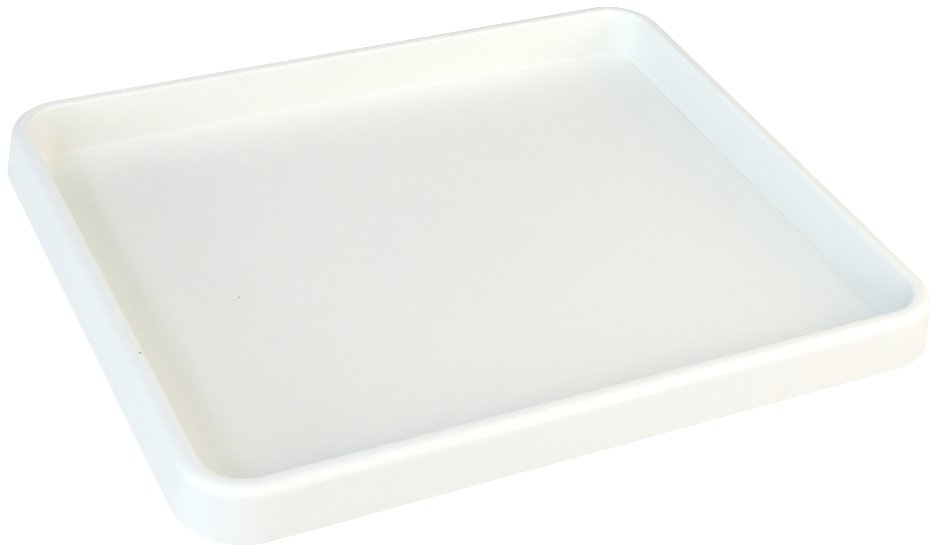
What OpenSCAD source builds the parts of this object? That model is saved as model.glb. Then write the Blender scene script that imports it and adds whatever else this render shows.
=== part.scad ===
// Lipped mortar hawk: a moulded tray on a screw-off handle.
// Millimetres. +Z is up, X runs along the tray's long side, Y along its short side.
// The origin is the centre of the handle's foot, so the hawk stands on z = 0.

/* [Tray] */
// Length of the tray over its skirt
tray_length = 350; // [320:5:380]
// Width of the tray over its skirt
tray_width = 290; // [260:5:320]
// Height from the skirt's lower edge to the top of the lip
tray_height = 25; // [22:0.5:32]
// Radius of the skirt's corners in plan
corner_radius = 30; // [28:1:40]
// How far the outer wall leans in from the skirt to the top of the lip
outer_lean = 3.8; // [2:0.1:5]
// Distance from the skirt to the lip's inner edge
lip_reach = 11.2; // [10.5:0.1:12.5]
// Distance from the skirt to the foot of the inner wall
floor_reach = 15.6; // [14.5:0.1:16.5]
// Radius of the lip's outer edge
lip_outer_round = 5; // [3:0.1:5.5]
// Radius of the lip's inner edge
lip_inner_round = 1.6; // [1:0.1:2]
// Radius between the inner wall and the floor
floor_round = 1; // [0.6:0.1:2]
// Height of the floor's upper face above the skirt's lower edge
floor_rise = 1.5; // [0.5:0.1:2.5]
// Thickness of the floor
floor_thickness = 3; // [2.5:0.1:4]
// Thickness of the lip's walls
wall_thickness = 3; // [2.5:0.1:3.2]

/* [Underside of the tray] */
// Outer diameter of the ring that the mounting plate seats on
hub_ring_diameter = 88; // [86:1:89]
// Depth of the hub ring and the screw bosses below the floor
hub_depth = 7; // [7:0.5:9]
// Thickness of the ribs and gussets
rib_thickness = 2.4; // [1.8:0.1:3]
// Depth of a rib where it meets the lip
rib_end_depth = 2.5; // [2:0.1:4]
// Spacing of the gussets in the hollow lip, at most
gusset_spacing = 42; // [36:1:50]

/* [Mounting plate] */
// Diameter of the mounting plate
plate_diameter = 92; // [90:1:100]
// Thickness of the mounting plate
plate_thickness = 3.5; // [3:0.1:5]
// Height of the hub below the mounting plate
plate_hub_height = 6; // [5:0.5:8]
// Diameter of the circle that the screws lie on
screw_circle = 70; // [69:0.5:71]

/* [Handle] */
// Diameter of the grip at its thickest
grip_diameter = 38.6; // [37:0.1:39]
// Length of the handle core, without its cap and ferrule
core_length = 92; // [90:1:110]
// Diameter of the handle core inside the grip
core_diameter = 27; // [26:0.5:29]
// Diameter of the foot of the end cap
foot_diameter = 42; // [40:1:46]
// Thickness of the foot of the end cap
foot_height = 7; // [6:0.5:10]
// Thickness of the foam guard
guard_thickness = 10; // [10:0.5:14]
// Diameter of the foam guard
guard_diameter = 76; // [60:1:80]

/* [Thread] */
// Diameter of the handle bolt
bolt_diameter = 10; // [10:10]
// Length of the handle bolt below its head
bolt_length = 55; // [50:1:56]
// Length of the threaded insert in the handle
insert_length = 28; // [22:1:30]

/* [Hidden] */
$fn = 64;

// Fits
running_gap = 0.05;
seat_gap = 0.1;
overlap = 0.5;

// Fastener sizes
hex_across_flats = 16;
bolt_head_height = 6.4;
hex_pocket_depth = 2.5;
hex_pocket_gap = 0.2;
nut_height = 5;
lock_washer_height = 2.2;
lock_washer_diameter = 18.1;
lock_washer_slit = 1.6;
screw_diameter = 5;
screw_length = 10;
screw_head_diameter = 9.5;
screw_head_height = 3.7;
screw_drive_width = 1.4;
screw_drive_span = 5.6;
screw_drive_depth = 2;
washer_diameter = 10;
washer_height = 1.1;
boss_insert_diameter = 7;
boss_insert_length = 6;
boss_diameter = 14;

// Ferrule and handle details
ferrule_wall = 1.5;
ferrule_height = 12.5;
ferrule_diameter = 40;
core_head_height = 4;
insert_diameter = 16;
bolt_well_diameter = 12;
bolt_well_depth = 48;
spigot_diameter = 18;
spigot_length = 16;
grip_groove_pitch = 7;
grip_groove_radius = 1.2;

// Heights, from the foot up
core_bottom = foot_height;
core_top = core_bottom + core_length;
ferrule_top = core_top + ferrule_wall;
guard_bottom = ferrule_top + seat_gap;
guard_top = guard_bottom + guard_thickness;
hub_face = guard_top + seat_gap;
plate_bottom = hub_face + plate_hub_height;
plate_top = plate_bottom + plate_thickness;
floor_bottom = plate_top + hub_depth;
skirt_bottom = floor_bottom + floor_thickness - floor_rise;
bolt_seat = plate_top - hex_pocket_depth;
bolt_head_top = bolt_seat + bolt_head_height;
nut_seat = hub_face + 3;
nut_top = nut_seat - lock_washer_height;
nut_bottom = nut_top - nut_height;

// Lip section: "in" is the distance inwards from the skirt, "up" the height above its lower edge.
// Both walls are straight lines that lean towards each other.
inner_lean = floor_reach - lip_reach;
inner_rise = tray_height - floor_rise;
outer_slope = outer_lean / tray_height;
inner_slope = inner_lean / inner_rise;
outer_stretch = sqrt(1 + pow(outer_slope, 2));
inner_stretch = sqrt(1 + pow(inner_slope, 2));
floor_underside = floor_rise - floor_thickness;
sweep_reach = 24;

// Distance in from the skirt of the outer wall's face at a height
function outer_face(up) = up * outer_slope;
// Distance in from the skirt of the inner wall's face at a height
function inner_face(up) = lip_reach + (tray_height - up) * inner_slope;

// Centres of the three rounds of the lip's section
outer_round_at = [outer_face(tray_height - lip_outer_round) + lip_outer_round * outer_stretch,
                  tray_height - lip_outer_round];
inner_round_at = [inner_face(tray_height - lip_inner_round) - lip_inner_round * inner_stretch,
                  tray_height - lip_inner_round];
floor_round_at = [inner_face(floor_rise + floor_round) + floor_round * inner_stretch,
                  floor_rise + floor_round];
// Unit normals of the two walls, pointing out of the plastic
outer_normal = [-1, outer_slope] / outer_stretch;
inner_normal = [1, inner_slope] / inner_stretch;

module lip_section() {
    hollow_top = tray_height - wall_thickness;
    hollow_outer = wall_thickness * outer_stretch;
    hollow_inner = wall_thickness * inner_stretch;
    difference() {
        union() {
            polygon([
                [0, 0],
                outer_round_at + lip_outer_round * outer_normal,
                [outer_round_at.x, tray_height],
                [inner_round_at.x, tray_height],
                inner_round_at + lip_inner_round * inner_normal,
                floor_round_at - floor_round * inner_normal,
                [floor_round_at.x, floor_rise],
                [sweep_reach, floor_rise],
                [sweep_reach, floor_underside],
                [inner_face(floor_underside) - hollow_inner, floor_underside],
                [inner_face(hollow_top) - hollow_inner, hollow_top],
                [outer_face(hollow_top) + hollow_outer, hollow_top],
                [hollow_outer, 0]
            ]);
            // Only the skirt's side of the outer round: its circle is wider than the lip
            translate(outer_round_at)
                intersection() {
                    circle(r = lip_outer_round);
                    translate([-lip_outer_round, -lip_outer_round])
                        square([lip_outer_round, 2 * lip_outer_round]);
                }
            translate(inner_round_at) circle(r = lip_inner_round);
        }
        translate(floor_round_at) circle(r = floor_round);
    }
}

module gusset_section() {
    low = 5;
    high = tray_height - wall_thickness + overlap;
    outer_skin = wall_thickness * outer_stretch - overlap;
    inner_skin = wall_thickness * inner_stretch - overlap;
    polygon([
        [outer_face(low) + outer_skin, low],
        [outer_face(high) + outer_skin, high],
        [inner_face(high) - inner_skin, high],
        [inner_face(low) - inner_skin, low]
    ]);
}

// Turns a section drawn as [in, up] into one measured out from a corner's centre
module from_corner() translate([corner_radius, 0]) mirror([1, 0]) children();

corner_x = tray_length / 2 - corner_radius;
corner_y = tray_width / 2 - corner_radius;
corner_angle = atan2(corner_y, corner_x);

// One entry per side: turn about Z, distance from the centre to the corner line, straight length
sides = [
    [0, corner_x, 2 * corner_y],
    [90, corner_y, 2 * corner_x],
    [180, corner_x, 2 * corner_y],
    [270, corner_y, 2 * corner_x]
];

module lip() {
    for (side = sides)
        rotate([0, 0, side[0]])
            translate([side[1], 0, 0])
                rotate([90, 0, 0])
                    linear_extrude(height = side[2], center = true)
                        from_corner() lip_section();
    for (quarter = [0 : 3])
        translate([(quarter == 0 || quarter == 3 ? 1 : -1) * corner_x,
                   (quarter < 2 ? 1 : -1) * corner_y, 0])
            rotate([0, 0, 90 * quarter])
                rotate_extrude(angle = 90)
                    from_corner() lip_section();
}

module gusset() {
    rotate([90, 0, 0])
        linear_extrude(height = rib_thickness, center = true)
            from_corner() gusset_section();
}

module gussets() {
    for (side = sides) {
        count = ceil(side[2] / gusset_spacing);
        for (step = [0 : count])
            rotate([0, 0, side[0]])
                translate([side[1], side[2] * (step / count - 0.5), 0])
                    gusset();
    }
    for (x = [-1, 1], y = [-1, 1])
        translate([x * corner_x, y * corner_y, 0])
            rotate([0, 0, atan2(y, x)])
                gusset();
}

// A rib that tapers from the hub ring to near the lip, below the floor
module floor_rib(angle, reach) {
    start = hub_ring_diameter / 2 - 1;
    rotate([0, 0, angle])
        rotate([90, 0, 0])
            linear_extrude(height = rib_thickness, center = true)
                polygon([
                    [start, overlap],
                    [start, -hub_depth],
                    [reach, -rib_end_depth],
                    [reach, overlap]
                ]);
}

module floor_ribs() {
    margin = 15;
    corner_distance = norm([corner_x, corner_y]) + corner_radius - margin;
    for (turn = [0, 180]) {
        floor_rib(turn, tray_length / 2 - margin);
        floor_rib(turn + 90, tray_width / 2 - margin);
        floor_rib(turn + corner_angle, corner_distance);
        floor_rib(turn - corner_angle, corner_distance);
    }
}

module at_screws() {
    for (turn = [0 : 90 : 270])
        rotate([0, 0, turn])
            translate([screw_circle / 2, 0, 0])
                children();
}

module hub_ring() {
    ring_wall = 3;
    head_boss_diameter = 30;
    difference() {
        translate([0, 0, -hub_depth])
            cylinder(d = hub_ring_diameter, h = hub_depth + overlap);
        translate([0, 0, -hub_depth - 1])
            cylinder(d = hub_ring_diameter - 2 * ring_wall, h = hub_depth + 1);
    }
    at_screws()
        translate([0, 0, -hub_depth])
            cylinder(d = boss_diameter, h = hub_depth + overlap);
    translate([0, 0, bolt_head_top - floor_bottom])
        cylinder(d = head_boss_diameter, h = floor_bottom - bolt_head_top + overlap);
}

module tray() {
    slab = 2 * (sweep_reach - 1);
    color([0.93, 0.94, 0.92])
        difference() {
            union() {
                translate([0, 0, skirt_bottom]) {
                    lip();
                    gussets();
                }
                translate([-(tray_length - slab) / 2, -(tray_width - slab) / 2, floor_bottom])
                    cube([tray_length - slab, tray_width - slab, floor_thickness]);
                translate([0, 0, floor_bottom]) {
                    floor_ribs();
                    hub_ring();
                }
            }
            at_screws()
                translate([0, 0, plate_top - 1])
                    cylinder(d = boss_insert_diameter, h = boss_insert_length + 1);
        }
}

module boss_inserts() {
    color([0.80, 0.64, 0.30])
        at_screws()
            translate([0, 0, plate_top])
                difference() {
                    cylinder(d = boss_insert_diameter, h = boss_insert_length);
                    translate([0, 0, -1])
                        cylinder(d = screw_diameter + 2 * running_gap, h = boss_insert_length + 2);
                }
}

module hex_prism(across_flats, height) {
    cylinder(d = across_flats / cos(30), h = height, $fn = 6);
}

// Hexagon with its top and bottom corners turned off
module turned_hex(height, chamfer_low, chamfer_high) {
    corner = hex_across_flats / cos(30) / 2;
    flat = hex_across_flats / 2;
    intersection() {
        hex_prism(hex_across_flats, height);
        rotate_extrude()
            polygon([
                [0, 0],
                [chamfer_low ? flat : corner + 1, 0],
                [corner + 1, chamfer_low ? (corner + 1 - flat) * tan(30) : 0],
                [corner + 1, height - (chamfer_high ? (corner + 1 - flat) * tan(30) : 0)],
                [chamfer_high ? flat : corner + 1, height],
                [0, height]
            ]);
    }
}

module mounting_plate() {
    edge = 1;
    hub_top_radius = 23;
    hub_face_radius = 18;
    nut_recess_diameter = 25;
    bolt_hole_diameter = bolt_diameter + 0.5;
    screw_hole_diameter = screw_diameter + 0.5;
    rib_depth = 3;
    rib_outer = plate_diameter / 2 - 3;
    color([0.70, 0.71, 0.72])
        difference() {
            union() {
                rotate_extrude()
                    polygon([
                        [0, hub_face],
                        [hub_face_radius, hub_face],
                        [hub_top_radius, plate_bottom],
                        [plate_diameter / 2 - edge, plate_bottom],
                        [plate_diameter / 2, plate_bottom + edge],
                        [plate_diameter / 2, plate_top],
                        [0, plate_top]
                    ]);
                for (turn = [22.5 : 45 : 337.5])
                    rotate([0, 0, turn])
                        rotate([90, 0, 0])
                            linear_extrude(height = 3, center = true)
                                polygon([
                                    [hub_face_radius, plate_bottom + overlap],
                                    [hub_face_radius + 1, plate_bottom - plate_hub_height + 2],
                                    [rib_outer - 4, plate_bottom - rib_depth + 1.5],
                                    [rib_outer, plate_bottom + overlap]
                                ]);
            }
            translate([0, 0, bolt_seat])
                hex_prism(hex_across_flats + hex_pocket_gap, hex_pocket_depth + 1);
            translate([0, 0, hub_face - 1])
                cylinder(d = nut_recess_diameter, h = nut_seat - hub_face + 1);
            translate([0, 0, nut_seat - 1])
                cylinder(d = bolt_hole_diameter, h = bolt_seat - nut_seat + 2);
            at_screws()
                translate([0, 0, plate_bottom - 1])
                    cylinder(d = screw_hole_diameter, h = plate_thickness + 2);
        }
}

module plate_screws() {
    head_top = plate_bottom - washer_height;
    color([0.76, 0.77, 0.78])
        at_screws()
            translate([0, 0, head_top])
                difference() {
                    union() {
                        cylinder(d = screw_diameter, h = screw_length);
                        // Pan head: a short edge that ends in a shallow dome
                        intersection() {
                            translate([0, 0, -screw_head_height])
                                cylinder(d = screw_head_diameter, h = screw_head_height);
                            translate([0, 0, screw_head_diameter - screw_head_height])
                                sphere(r = screw_head_diameter);
                        }
                    }
                    for (turn = [0, 90])
                        rotate([0, 0, turn])
                            translate([-screw_drive_span / 2, -screw_drive_width / 2,
                                       -screw_head_height - 1])
                                cube([screw_drive_span, screw_drive_width, screw_drive_depth + 1]);
                }
}

module screw_washers() {
    color([0.74, 0.75, 0.76])
        at_screws()
            translate([0, 0, plate_bottom - washer_height])
                difference() {
                    cylinder(d = washer_diameter, h = washer_height);
                    translate([0, 0, -1])
                        cylinder(d = screw_diameter + 0.3, h = washer_height + 2);
                }
}

module handle_bolt() {
    tip = 1.2;
    color([0.76, 0.77, 0.78]) {
        translate([0, 0, bolt_seat])
            turned_hex(bolt_head_height, false, true);
        rotate_extrude()
            polygon([
                [0, bolt_seat - bolt_length],
                [bolt_diameter / 2 - tip, bolt_seat - bolt_length],
                [bolt_diameter / 2, bolt_seat - bolt_length + tip],
                [bolt_diameter / 2, bolt_seat + overlap],
                [0, bolt_seat + overlap]
            ]);
    }
}

module lock_washer() {
    color([0.55, 0.56, 0.58])
        translate([0, 0, nut_top])
            difference() {
                cylinder(d = lock_washer_diameter, h = lock_washer_height);
                translate([0, 0, -1])
                    cylinder(d = bolt_diameter + 0.3, h = lock_washer_height + 2);
                translate([0, -lock_washer_slit / 2, -1])
                    cube([lock_washer_diameter, lock_washer_slit, lock_washer_height + 2]);
            }
}

module jam_nut() {
    color([0.76, 0.77, 0.78])
        translate([0, 0, nut_bottom])
            difference() {
                turned_hex(nut_height, true, true);
                translate([0, 0, -1])
                    cylinder(d = bolt_diameter + 2 * running_gap, h = nut_height + 2);
            }
}

module callus_guard() {
    edge = 3;
    bolt_hole_radius = 5.5;
    nut_room_radius = 12;
    nut_room_depth = 5.5;
    outer = guard_diameter / 2;
    color([0.30, 0.33, 0.36])
        rotate_extrude()
            difference() {
                union() {
                    translate([bolt_hole_radius, guard_bottom])
                        square([outer - edge - bolt_hole_radius, guard_thickness]);
                    translate([outer - edge - overlap, guard_bottom + edge])
                        square([edge + overlap, guard_thickness - 2 * edge]);
                    translate([outer - edge, guard_bottom + edge]) circle(r = edge);
                    translate([outer - edge, guard_top - edge]) circle(r = edge);
                }
                translate([0, guard_top - nut_room_depth])
                    square([nut_room_radius, nut_room_depth + 1]);
            }
}

module ferrule() {
    bend = 2.5;
    bolt_hole_radius = 5.5;
    outer = ferrule_diameter / 2;
    bottom = ferrule_top - ferrule_height;
    color([0.72, 0.73, 0.74])
        rotate_extrude()
            difference() {
                union() {
                    translate([bolt_hole_radius, bottom])
                        square([outer - bend - bolt_hole_radius, ferrule_height]);
                    translate([outer - bend - overlap, bottom])
                        square([bend + overlap, ferrule_height - bend]);
                    translate([outer - bend, ferrule_top - bend]) circle(r = bend);
                }
                translate([0, bottom - 1])
                    square([outer - ferrule_wall, ferrule_height - ferrule_wall + 1 - (bend - ferrule_wall)]);
                translate([0, bottom])
                    square([outer - bend, ferrule_height - ferrule_wall]);
                translate([outer - bend, ferrule_top - bend]) circle(r = bend - ferrule_wall);
            }
}

module threaded_insert() {
    rim = 0.6;
    color([0.80, 0.64, 0.30])
        rotate_extrude()
            polygon([
                [bolt_diameter / 2 + running_gap, core_top - insert_length],
                [insert_diameter / 2 - rim, core_top - insert_length],
                [insert_diameter / 2, core_top - insert_length + rim],
                [insert_diameter / 2, core_top],
                [bolt_diameter / 2 + running_gap, core_top]
            ]);
}

module handle_core() {
    head_radius = ferrule_diameter / 2 - ferrule_wall;
    head_bend = 1;
    color([0.16, 0.17, 0.18])
        difference() {
            rotate_extrude()
                polygon([
                    [0, core_bottom],
                    [core_diameter / 2, core_bottom],
                    [core_diameter / 2, core_top - core_head_height],
                    [head_radius, core_top - core_head_height],
                    [head_radius, core_top - head_bend],
                    [head_radius - head_bend, core_top],
                    [0, core_top]
                ]);
            translate([0, 0, core_top - insert_length])
                cylinder(d = insert_diameter, h = insert_length + 1);
            translate([0, 0, core_top - bolt_well_depth])
                cylinder(d = bolt_well_diameter, h = bolt_well_depth);
            translate([0, 0, core_bottom - 1])
                cylinder(d = spigot_diameter, h = spigot_length + 1);
        }
}

module grip_sleeve() {
    top = core_top - core_head_height;
    collar_bottom = ferrule_top - ferrule_height - 1;
    collar_radius = ferrule_diameter / 2 - ferrule_wall;
    length = collar_bottom - core_bottom;
    end_radius = grip_diameter / 2 - 1.1;
    // Circle whose arc bulges the grip from its end radius to its full radius
    bulge = grip_diameter / 2 - end_radius;
    arc_radius = (pow(length / 2, 2) + pow(bulge, 2)) / (2 * bulge);
    middle = core_bottom + length / 2;
    groove_count = floor(length / grip_groove_pitch) - 1;
    color([0.20, 0.21, 0.22])
        rotate_extrude()
            difference() {
                union() {
                    intersection() {
                        translate([0, core_bottom])
                            square([grip_diameter, length]);
                        translate([grip_diameter / 2 - arc_radius, middle])
                            circle(r = arc_radius, $fn = 256);
                    }
                    translate([0, collar_bottom])
                        square([collar_radius, top - collar_bottom]);
                }
                translate([-arc_radius * 2, core_bottom - 1])
                    square([arc_radius * 2 + core_diameter / 2, length + 40]);
                for (step = [0 : groove_count - 1])
                    translate([grip_diameter / 2 + 0.2,
                               middle + (step - (groove_count - 1) / 2) * grip_groove_pitch])
                        circle(r = grip_groove_radius, $fn = 24);
            }
}

module end_cap() {
    foot_round = 2;
    shoulder_round = 1;
    outer = foot_diameter / 2;
    color([0.16, 0.17, 0.18]) {
        rotate_extrude()
            union() {
                square([outer - foot_round, foot_height]);
                translate([0, foot_round])
                    square([outer, foot_height - foot_round - shoulder_round]);
                translate([0, foot_round])
                    square([outer - shoulder_round, foot_height - foot_round]);
                translate([outer - foot_round, foot_round]) circle(r = foot_round);
                translate([outer - shoulder_round, foot_height - shoulder_round])
                    circle(r = shoulder_round);
            }
        translate([0, 0, foot_height - overlap])
            cylinder(d = spigot_diameter, h = spigot_length + overlap);
    }
}

tray();
boss_inserts();
mounting_plate();
plate_screws();
screw_washers();
handle_bolt();
lock_washer();
jam_nut();
callus_guard();
ferrule();
threaded_insert();
handle_core();
grip_sleeve();
end_cap();
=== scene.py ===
"""Looks for the lipped mortar hawk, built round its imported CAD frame. Metres, Z up."""
import math

import bmesh
import bpy
import numpy as np
from mathutils import Matrix, Vector, noise


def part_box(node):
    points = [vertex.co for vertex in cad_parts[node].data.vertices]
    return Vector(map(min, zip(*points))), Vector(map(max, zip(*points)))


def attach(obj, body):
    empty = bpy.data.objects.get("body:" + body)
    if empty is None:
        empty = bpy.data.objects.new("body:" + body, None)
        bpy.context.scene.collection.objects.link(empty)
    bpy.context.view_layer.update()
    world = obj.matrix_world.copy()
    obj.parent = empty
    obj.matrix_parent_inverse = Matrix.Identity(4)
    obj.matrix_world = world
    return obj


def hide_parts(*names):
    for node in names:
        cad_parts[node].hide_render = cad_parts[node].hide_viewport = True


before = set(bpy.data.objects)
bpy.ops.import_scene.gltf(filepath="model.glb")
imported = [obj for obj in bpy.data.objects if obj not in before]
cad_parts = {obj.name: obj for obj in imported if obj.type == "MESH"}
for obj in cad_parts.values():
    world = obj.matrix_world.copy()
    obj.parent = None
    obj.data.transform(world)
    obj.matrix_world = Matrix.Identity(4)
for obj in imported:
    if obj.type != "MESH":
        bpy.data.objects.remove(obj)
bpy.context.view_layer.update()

MM = 0.001
THREAD_DEPTH = 0.6134    # of the pitch, as ISO threads have it

# The bodies that pieces ride on
TRAY = "tray_assembly"
GUARD = "guard"
HANDLE = "handle"

# The tray's section, as the CAD has it
LIP_HEIGHT = 25 * MM
CORNER_RADIUS = 30 * MM
OUTER_LEAN = 3.8 * MM
LIP_REACH = 11.2 * MM
FLOOR_REACH = 15.6 * MM
LIP_OUTER_ROUND = 5 * MM
LIP_INNER_ROUND = 1.6 * MM
FLOOR_ROUND = 1 * MM
FLOOR_RISE = 1.5 * MM
FLOOR_THICKNESS = 3 * MM
WALL = 3 * MM
SWEEP_REACH = 24 * MM    # the section is swept round the tray as far in as this

tray_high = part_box("tray")[1]
half_length = tray_high.x
half_width = tray_high.y
corner_x = half_length - CORNER_RADIUS
corner_y = half_width - CORNER_RADIUS
skirt_z = tray_high.z - LIP_HEIGHT
floor_top_z = skirt_z + FLOOR_RISE
floor_bottom_z = floor_top_z - FLOOR_THICKNESS
plate_low, plate_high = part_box("mounting_plate")

# The grip's barrel, below its plain collar
COLLAR_LENGTH = 8 * MM
BARREL_BULGE = 1.1 * MM
grip_low, grip_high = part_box("grip_sleeve")
barrel_top = grip_high.z - COLLAR_LENGTH
barrel_length = barrel_top - grip_low.z
barrel_middle = grip_low.z + barrel_length / 2


# ---- mesh helpers

def placed(name, data):
    """A new object in the scene."""
    made = bpy.data.objects.new(name, data)
    bpy.context.scene.collection.objects.link(made)
    return made


def mesh_from(name, vertices, faces):
    """A mesh with its normals made consistent and nothing doubled."""
    mesh = bpy.data.meshes.new(name)
    mesh.from_pydata([tuple(v) for v in vertices], [], [tuple(f) for f in faces])
    tidy(mesh)
    return mesh


def between_rings(first, second, count):
    """The faces between two closed rings of count points each, from the indices that they start at."""
    return [(first + i, first + (i + 1) % count, second + (i + 1) % count, second + i)
            for i in range(count)]


def tidy(mesh, merge=1e-7):
    """Merges points closer than a distance, drops faces without area and makes the normals consistent."""
    work = bmesh.new()
    work.from_mesh(mesh)
    bmesh.ops.remove_doubles(work, verts=work.verts, dist=merge)
    bmesh.ops.dissolve_degenerate(work, edges=work.edges, dist=merge)
    bmesh.ops.recalc_face_normals(work, faces=work.faces)
    work.to_mesh(mesh)
    work.free()
    mesh.update()


def smooth(mesh, angle):
    """Smooth shading, with edges kept sharp above an angle in degrees."""
    mesh.polygons.foreach_set("use_smooth", [True] * len(mesh.polygons))
    mesh.set_sharp_from_angle(angle=math.radians(angle))


def arc(centre, radius, start, end, steps):
    """Points of an arc from one angle to another, in degrees, both ends included."""
    angles = [math.radians(start + (end - start) * i / steps) for i in range(steps + 1)]
    return [(centre[0] + radius * math.cos(a), centre[1] + radius * math.sin(a)) for a in angles]


def run(start, end, steps, margin=0.4 * MM):
    """Points between two others, not counting them, with one close to each end to hold the shading."""
    length = math.dist(start, end)
    near = min(margin / length, 0.25)
    shares = [near + (1 - 2 * near) * i / steps for i in range(steps + 1)]
    return [(start[0] + (end[0] - start[0]) * t, start[1] + (end[1] - start[1]) * t) for t in shares]


def boolean(target, part_mesh, operation):
    """The mesh of target after one exact boolean with a closed mesh."""
    other = placed("boolean_part", part_mesh)
    modifier = target.modifiers.new("boolean", "BOOLEAN")
    modifier.operation = operation
    modifier.solver = "EXACT"
    modifier.object = other
    graph = bpy.context.evaluated_depsgraph_get()
    made = bpy.data.meshes.new_from_object(target.evaluated_get(graph))
    target.modifiers.remove(modifier)
    bpy.data.objects.remove(other)
    return made


def combined(base, parts, operation):
    """The mesh of base after a boolean with each of the closed meshes of parts."""
    target = placed("boolean_target", base)
    for part in parts:
        target.data = boolean(target, part, operation)
    made = target.data
    bpy.data.objects.remove(target)
    return made


def union(base, parts):
    """The mesh of base with the closed meshes of parts added to it."""
    return combined(base, parts, "UNION")


def cut(base, parts):
    """The mesh of base with the closed meshes of parts taken out of it."""
    return combined(base, parts, "DIFFERENCE")


def joined(meshes):
    """One mesh that holds several."""
    work = bmesh.new()
    for mesh in meshes:
        work.from_mesh(mesh)
    made = bpy.data.meshes.new("joined")
    work.to_mesh(made)
    work.free()
    return made


def moved(mesh, matrix):
    """A copy of a mesh, moved by a matrix."""
    copy = mesh.copy()
    copy.transform(matrix)
    return copy


def moved_out(mesh, reach):
    """A copy of a mesh, moved along X."""
    return moved(mesh, Matrix.Translation((reach, 0, 0)))


def turned(mesh, degrees):
    """A copy of a mesh, turned about Z."""
    return moved(mesh, Matrix.Rotation(math.radians(degrees), 4, "Z"))


def turned_copies(mesh, count, first=0.0):
    """Copies of a mesh, evenly spaced about Z from a first angle in degrees, as one mesh."""
    return joined([turned(mesh, first + 360 / count * i) for i in range(count)])


def lathe(name, profile, segments, shape=None):
    """A closed outline of (radius, height) turned about Z. shape(angle, radius, height) may move a point."""
    vertices = []
    for i in range(segments):
        angle = 2 * math.pi * i / segments
        for radius, height in profile:
            if shape and radius > 0:
                radius, height = shape(angle, radius, height)
            vertices.append((radius * math.cos(angle), radius * math.sin(angle), height))
    count = len(profile)
    faces = []
    for i in range(segments):
        faces += between_rings(i * count, (i + 1) % segments * count, count)
    return mesh_from(name, vertices, faces)


def surface_of_turning(name, profile, segments):
    """An open surface turned about Z from points (radius, height) that start on the axis."""
    vertices = [(0, 0, profile[0][1])]
    for radius, height in profile[1:]:
        for i in range(segments):
            angle = 2 * math.pi * i / segments
            vertices.append((radius * math.cos(angle), radius * math.sin(angle), height))
    faces = [(0, 1 + i, 1 + (i + 1) % segments) for i in range(segments)]
    for ring in range(len(profile) - 2):
        inner = 1 + ring * segments
        faces += between_rings(inner + segments, inner, segments)
    mesh = bpy.data.meshes.new(name)
    mesh.from_pydata(vertices, [], faces)
    mesh.update()
    return mesh


def rounded(corners, steps=4, hold=0.15 * MM):
    """A closed outline for lathe() from corners, each (radius, height, rounding), with arcs at the corners.
    A point is kept close to both ends of each arc, so that the flat stretches shade flat."""
    points = []
    for i, (x, y, rounding) in enumerate(corners):
        here = Vector((x, y))
        if not rounding:
            points.append((x, y))
            continue
        before = Vector(corners[i - 1][:2]) - here
        after = Vector(corners[(i + 1) % len(corners)][:2]) - here
        to_before = before.normalized()
        to_after = after.normalized()
        half = to_before.angle(to_after) / 2
        reach = rounding / math.tan(half)
        centre = here + (to_before + to_after).normalized() * (rounding / math.sin(half))
        first = here + to_before * reach - centre
        last = here + to_after * reach - centre
        start = math.atan2(first.y, first.x)
        sweep = math.remainder(math.atan2(last.y, last.x) - start, 2 * math.pi)
        points.append(tuple(here + to_before * (reach + min(hold, 0.2 * (before.length - reach)))))
        points += [(centre.x + rounding * math.cos(start + sweep * step / steps),
                    centre.y + rounding * math.sin(start + sweep * step / steps))
                   for step in range(steps + 1)]
        points.append(tuple(here + to_after * (reach + min(hold, 0.2 * (after.length - reach)))))
    return points


def filled(outline, spacing):
    """A closed outline with points added, so that no gap is longer than spacing."""
    points = []
    for here, following in zip(outline, outline[1:] + outline[:1]):
        steps = max(1, math.ceil(math.dist(here, following) / spacing))
        points += [(here[0] + (following[0] - here[0]) * i / steps,
                    here[1] + (following[1] - here[1]) * i / steps) for i in range(steps)]
    return points


def bell(distance, width):
    """1 where distance is 0, falling smoothly to 0 a few widths away."""
    return math.exp(-(distance / width) ** 2)


def threaded_shaft(low, high, radius, pitch, tip, columns=48):
    """A closed shaft with a right-handed 60 degree thread and a chamfered lower end."""
    depth = THREAD_DEPTH * pitch
    # One pitch of the thread: share of the pitch, and share of the depth
    steps = ((-0.04, 0), (0.04, 0), (0.09, 0.08), (0.40, 0.93),
             (0.46, 1), (0.54, 1), (0.60, 0.93), (0.91, 0.08))
    turns = math.ceil((high - low) / pitch) + 3
    vertices = []
    for turn in range(turns):
        for phase, share in steps:
            for i in range(columns):
                up = low + pitch * (turn - 1 + phase + i / columns)
                height = min(max(up, low), high)
                reach = min(radius - depth * share, radius - tip + height - low)
                if up <= low:
                    reach = radius - tip
                elif up >= high:
                    reach = radius - depth
                angle = 2 * math.pi * i / columns
                vertices.append((reach * math.cos(angle), reach * math.sin(angle), height))
    rows = (turns - 1) * len(steps) - 1
    faces = [tuple(range(columns)), tuple(range(rows * columns, (rows + 1) * columns))]
    for row in range(rows):
        for i in range(columns):
            here = row * columns + i
            beside = here + 1 if i + 1 < columns else (row + len(steps)) * columns
            faces.append((here, beside, beside + columns, here + columns))
    return mesh_from("threaded_shaft", vertices, faces)


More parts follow.
